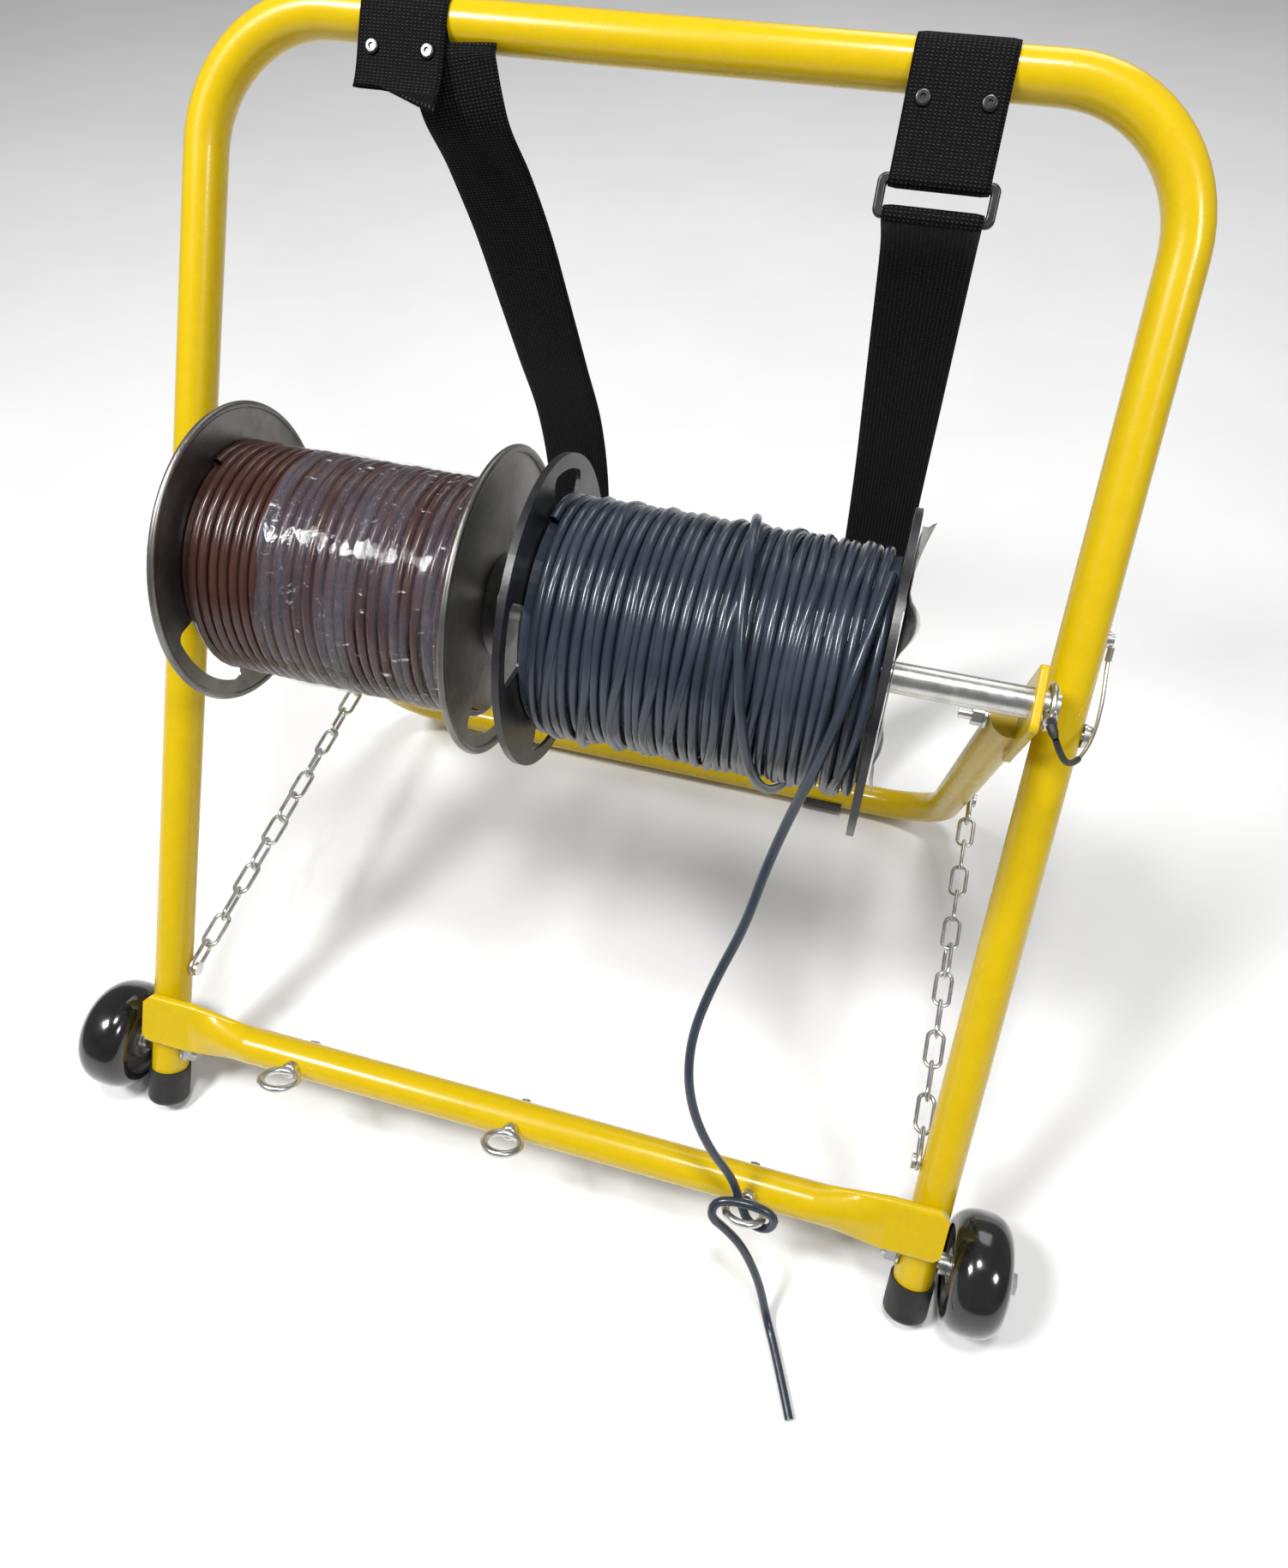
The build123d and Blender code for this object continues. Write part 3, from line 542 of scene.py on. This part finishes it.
# One loose turn in front of the grey winding: x, degrees round the axle, height over the turns.
STRAY = [
    (88, 60, -3.0),
    (91, 40, 0.5),
    (94, 20, 3.5),
    (97, 0, 6.0),
    (99, -20, 4.5),
    (102, -40, 3.0),
    (106, -60, 2.6),
    (111, -80, 2.6),
    (116, -100, 2.6),
    (121, -120, 3.0),
    (126, -140, 5.0),
    (132, -160, 9.0),
    (139, -180, 11.0),
    (146, -200, 8.0),
    (151, -220, 2.0),
    (154, -240, -3.0),
]
winding(
    "brown_turns",
    "brown_spool",
    "brown_wire_winding",
    BROWN_WIRE,
    x1=-207.1,
    x2=-45.2,
    outer=67.2,
    wire=5.9,
    layers=[(0, 6.0, 0.4)],
    seed=3,
    loose=1.2,
)
winding(
    "grey_turns",
    "grey_spool",
    "grey_wire_winding",
    GREY_WIRE,
    x1=-11.1,
    x2=171.2,
    outer=67.0,
    wire=5.6,
    layers=[(0, 5.7, 0.6), (1.2, 17, 3.0)],
    seed=8,
    loose=2.6,
    sag=3.0,
    strays=[STRAY],
)


# ---------------------------------------------------------------- film and label
def spool_film():
    """A wrinkled sleeve of film over most of the brown winding, with an uneven left edge."""
    x1, x2 = -160, -46.5
    mesh = bpy.data.meshes.new("film")
    bm = bmesh.new()
    around, along = 144, 56
    grid = []
    for i in range(along + 1):
        row = []
        for j in range(around):
            angle = 2 * math.pi * j / around
            s, c = math.sin(angle), math.cos(angle)
            torn = 5 * noise.noise(Vector((s * 2, c * 2, 3.0)))
            x = (x1 + torn) + (x2 - x1 - torn) * i / along
            crease = noise.noise(Vector((x * 0.09, s * 2.2, c * 2.2)))
            crease += 0.6 * noise.noise(Vector((x * 0.3, s * 7, c * 7)))
            row.append(bm.verts.new(round_axle(x, 68.0 + 0.9 * crease, angle)))
        grid.append(row)
    for i in range(along):
        for j in range(around):
            k = (j + 1) % around
            bm.faces.new((grid[i][j], grid[i][k], grid[i + 1][k], grid[i + 1][j]))
    bm.to_mesh(mesh)
    bm.free()
    made = smooth(new_object("stretch_film", mesh, FILM))
    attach(made, "brown_spool")
    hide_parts("brown_spool_film")


def torn_label():
    """What is left of a paper disc, with a torn outline and lifted edges."""
    outer_face = 176.9
    mesh = bpy.data.meshes.new("label")
    bm = bmesh.new()
    rings, steps = 10, 60
    grid = []
    for i in range(rings + 1):
        row = []
        for j in range(steps + 1):
            angle = math.radians(-75 + 165 * j / steps)
            edge = 80 + 6 * noise.noise(Vector((j * 0.21, 1.0, 0.0)))
            edge += 2.5 * noise.noise(Vector((j * 0.9, 4.0, 0.0)))
            inner = 42 + 9 * noise.noise(Vector((j * 0.16, 7.0, 0.0)))
            r = inner + (edge - inner) * i / rings
            lift = 18 * (i / rings) ** 2 * max(0, noise.noise(Vector((j * 0.12, 2.0, 0.0))))
            row.append(bm.verts.new(round_axle(outer_face + lift, r, -angle)))
        grid.append(row)
    for i in range(rings):
        for j in range(steps):
            bm.faces.new((grid[i][j], grid[i][j + 1], grid[i + 1][j + 1], grid[i + 1][j]))
    bm.to_mesh(mesh)
    bm.free()
    made = smooth(new_object("label_remains", mesh, PAPER))
    thick = made.modifiers.new("thick", "SOLIDIFY")
    thick.thickness = 0.0003
    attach(made, "grey_spool")
    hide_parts("grey_spool_label")


spool_film()
torn_label()


# ---------------------------------------------------------------- straps
def eased(points, steps=8):
    """A Catmull-Rom line through the points."""
    line = []
    ends = [points[0]] + points + [points[-1]]
    for a, b, c, d in zip(ends, ends[1:], ends[2:], ends[3:]):
        for i in range(steps):
            t = i / steps
            square = (2 * a - 5 * b + 4 * c - d) * t**2
            cube = (3 * b - a - 3 * c + d) * t**3
            line.append(0.5 * (2 * b + (c - a) * t + square + cube))
    return line + [points[-1]]


def ribbon(name, line, wide=50.8, thick=1.7, slants=(0, 0)):
    """A webbing strip whose width lies along X. slants cut its two ends at an angle."""
    mesh = bpy.data.meshes.new(name)
    bm = bmesh.new()
    layer = bm.loops.layers.uv.new("UVMap")
    across = 12
    travelled = [0.0]
    for a, b in zip(line, line[1:]):
        travelled.append(travelled[-1] + (b - a).length)
    rows = []
    last = len(line) - 1
    for i, middle in enumerate(line):
        along = (line[min(i + 1, last)] - line[max(i - 1, 0)]).normalized()
        side = (X - along * along.dot(X)).normalized()
        off = along.cross(side).normalized() * (thick / 2000)
        row = []
        for face in (1, -1):
            for j in range(across + 1):
                u = (j / across - 0.5) * face
                fade = 0.35 if j in (0, across) else 1.0
                slant = slants[0] if i == 0 else slants[1] if i == last else 0
                slip = along * slant * u / 1000
                place = middle + side * (u * wide / 1000) + off * face * fade + slip
                row.append((bm.verts.new(place), (u * wide / 1000, travelled[i])))
        rows.append(row)
    count = len(rows[0])
    for a, b in zip(rows, rows[1:]):
        for j in range(count):
            k = (j + 1) % count
            corners = (a[j], a[k], b[k], b[j])
            polygon = bm.faces.new([c[0] for c in corners])
            for loop, corner in zip(polygon.loops, corners):
                loop[layer].uv = corner[1]
    for row in (rows[0], rows[-1]):
        polygon = bm.faces.new([c[0] for c in row])
        for loop, corner in zip(polygon.loops, row):
            loop[layer].uv = corner[1]
    bmesh.ops.recalc_face_normals(bm, faces=bm.faces)
    bm.to_mesh(mesh)
    bm.free()
    made = smooth(new_object(name, mesh, WEB))
    return made, travelled[-1]


def circle_line(x, radius, start, end, steps, y=0.0, down=0.0):
    """Points round a line along X in the front frame's axes: 0 degrees is the front, 90 the top."""
    line = []
    for i in range(steps + 1):
        a = math.radians(start + (end - start) * i / steps)
        line.append(front(x, y - radius * math.cos(a), TOP_UP - down + radius * math.sin(a)))
    return line


# Side views of the hanging straps, as y and z from the pivot. LOWER is shared and ends on the rear bar.
BACK = BAR_Y + 13.7
LOWER = [(215, 48), (240, -10), (256, -70), (262, -130), (256, -190), (236, -240), (210, -275)]
LOWER += [(BACK, BAR_Z + 14), (BACK, BAR_Z - 12)]
LEFT_UPPER = [(162, 220), (172, 190), (181, 152), (193, 108)]
LEFT_X = [-114, -108, -101, -97, -95, -95, -97, -100, -103, -106, -109, -112, -112]
RIGHT_UPPER = [(154, 184), (169, 155), (187, 112)]
LOOP_X = 149
LOOP_R = 13.8
TAB = [(26, -LOOP_R), (18, -LOOP_R), (9, -LOOP_R)]
SLIDER_BAR_R = 3.7


def left_strap():
    """A riveted loop with its tab in front, and the long strip that comes out behind it at a slant."""
    x = -LOOP_X
    tab = [leg(x, d, n) for d, n in [(41, -16.6), (34, -14.6)] + TAB]
    wrap = circle_line(x, LOOP_R, 12, 335, 26)
    behind = [leg(x, d, n) for d, n in ((10, -12.1), (18, -12.0), (26, -12.0), (32, -11.9))]
    made, long = ribbon("strap_left_loop", eased(tab + wrap[::2], 3) + behind, slants=(-18, 0))
    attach(made, FRONT)
    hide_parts("strap_loop_left")

    top = [leg(-121, 12, -10.0), leg(-120, 21, -9.9)]
    down = [mm(px, y, z) for px, (y, z) in zip(LEFT_X, LEFT_UPPER + LOWER)]
    made, long = ribbon("strap_left", eased(top + down, 9))
    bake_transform(made)
    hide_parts("shoulder_strap_left")


def right_straps():
    """A short riveted loop that holds the slider, and the long strip below it."""
    x = LOOP_X
    upper_bar, lower_bar = 55.0, 71.6
    bar_back = -12.9
    front_layer = [leg(x, d, n) for d, n in [(46, -15.4), (36, -14.2)] + TAB]
    wrap = circle_line(x, LOOP_R, 12, 335, 26)
    behind = [leg(x, d, -12.0) for d in (10, 18, 26, 33)]
    under = circle_line(x, SLIDER_BAR_R, 20, -170, 10, bar_back, upper_bar)
    back = [leg(x, d, -11.0) for d in (35, 40, 47)]
    line = back + under[::-1] + front_layer + eased(wrap[::2], 3) + behind
    made, long = ribbon("strap_right_loop", line)
    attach(made, FRONT)
    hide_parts("strap_loop_right")

    turn = circle_line(x, SLIDER_BAR_R, 200, -66, 16, bar_back, lower_bar)
    down = [mm(x, y, z) for y, z in RIGHT_UPPER + LOWER]
    line = turn + eased([turn[-1]] + down, 9)[1:]
    made, long = ribbon("strap_right", line)
    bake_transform(made)
    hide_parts("shoulder_strap_right")


left_strap()
right_straps()


# ---------------------------------------------------------------- chains
def chain(side, name):
    """Thirteen welded links, each turned about a quarter from the last."""
    front_end = front(side * 259.3, 2, -287.5)
    rear_end = rear(side * 262.2, 0, -262)
    rng = random.Random(5 if side > 0 else 9)
    links, wide, wire = 13, 0.0108, 0.0015
    hold = 0.0041
    grip = 0.0032
    along = (front_end - rear_end).normalized()
    step = ((front_end - rear_end).length + 2 * hold - grip) / links
    half = (step + grip - wide) / 2
    curve = bpy.data.curves.new(name, "CURVE")
    curve.dimensions = "3D"
    curve.bevel_depth = wire
    curve.bevel_resolution = 3
    for i in range(links):
        centre = rear_end + along * ((step + grip) / 2 - hold + i * step)
        twist = math.pi / 2 * (i % 2) + rng.uniform(-0.25, 0.25) * (0 < i < links - 1)
        across = Matrix.Rotation(twist, 3, along) @ along.cross(X).normalized()
        spline = curve.splines.new("POLY")
        ring = []
        for k in range(28):
            a = 2 * math.pi * k / 28
            reach = math.cos(a)
            shift = half if reach > 0 else -half
            ring.append(centre + along * (shift + reach * wide / 2) + across * (math.sin(a) * wide / 2))
        spline.points.add(len(ring) - 1)
        for point, place in zip(spline.points, ring):
            point.co = (*place, 1)
        spline.use_cyclic_u = True
        spline.use_smooth = True
    made = smooth(to_mesh(new_object(name, curve, ZINC)))
    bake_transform(made)
    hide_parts("chain_right" if side > 0 else "chain_left")


chain(1, "chain_links_right")
chain(-1, "chain_links_left")


# ---------------------------------------------------------------- floor and light
def floor():
    mesh = bpy.data.meshes.new("floor")
    bm = bmesh.new()
    bmesh.ops.create_grid(bm, x_segments=1, y_segments=1, size=6)
    bm.to_mesh(mesh)
    bm.free()
    pale = plain("pale_floor", (0.78, 0.78, 0.78), (0.82, 0.82, 0.82), 0.7, scale=3, bump=0)
    made = new_object("floor", mesh, pale)


def light(name, place, size, power, aim=(0, 0, 0.3)):
    data = bpy.data.lights.new(name, "AREA")
    data.size = size
    data.energy = power
    made = bpy.data.objects.new(name, data)
    made.location = place
    made.rotation_euler = (Vector(aim) - Vector(place)).to_track_quat("-Z", "Y").to_euler()
    bpy.context.collection.objects.link(made)


floor()
light("key", (-1.1, -0.8, 2.3), 0.5, 52)
light("fill", (1.6, -0.9, 2.1), 0.5, 20)
light("back", (0.3, 1.9, 1.9), 1.2, 12)
light("overhead", (0.1, -0.3, 2.4), 0.35, 22)
world = bpy.data.worlds.new("studio")
world.use_nodes = True
world.node_tree.nodes["Background"].inputs["Color"].default_value = (1, 1, 1, 1)
world.node_tree.nodes["Background"].inputs["Strength"].default_value = 0.22
bpy.context.scene.world = world
bpy.context.scene.view_settings.view_transform = "Standard"
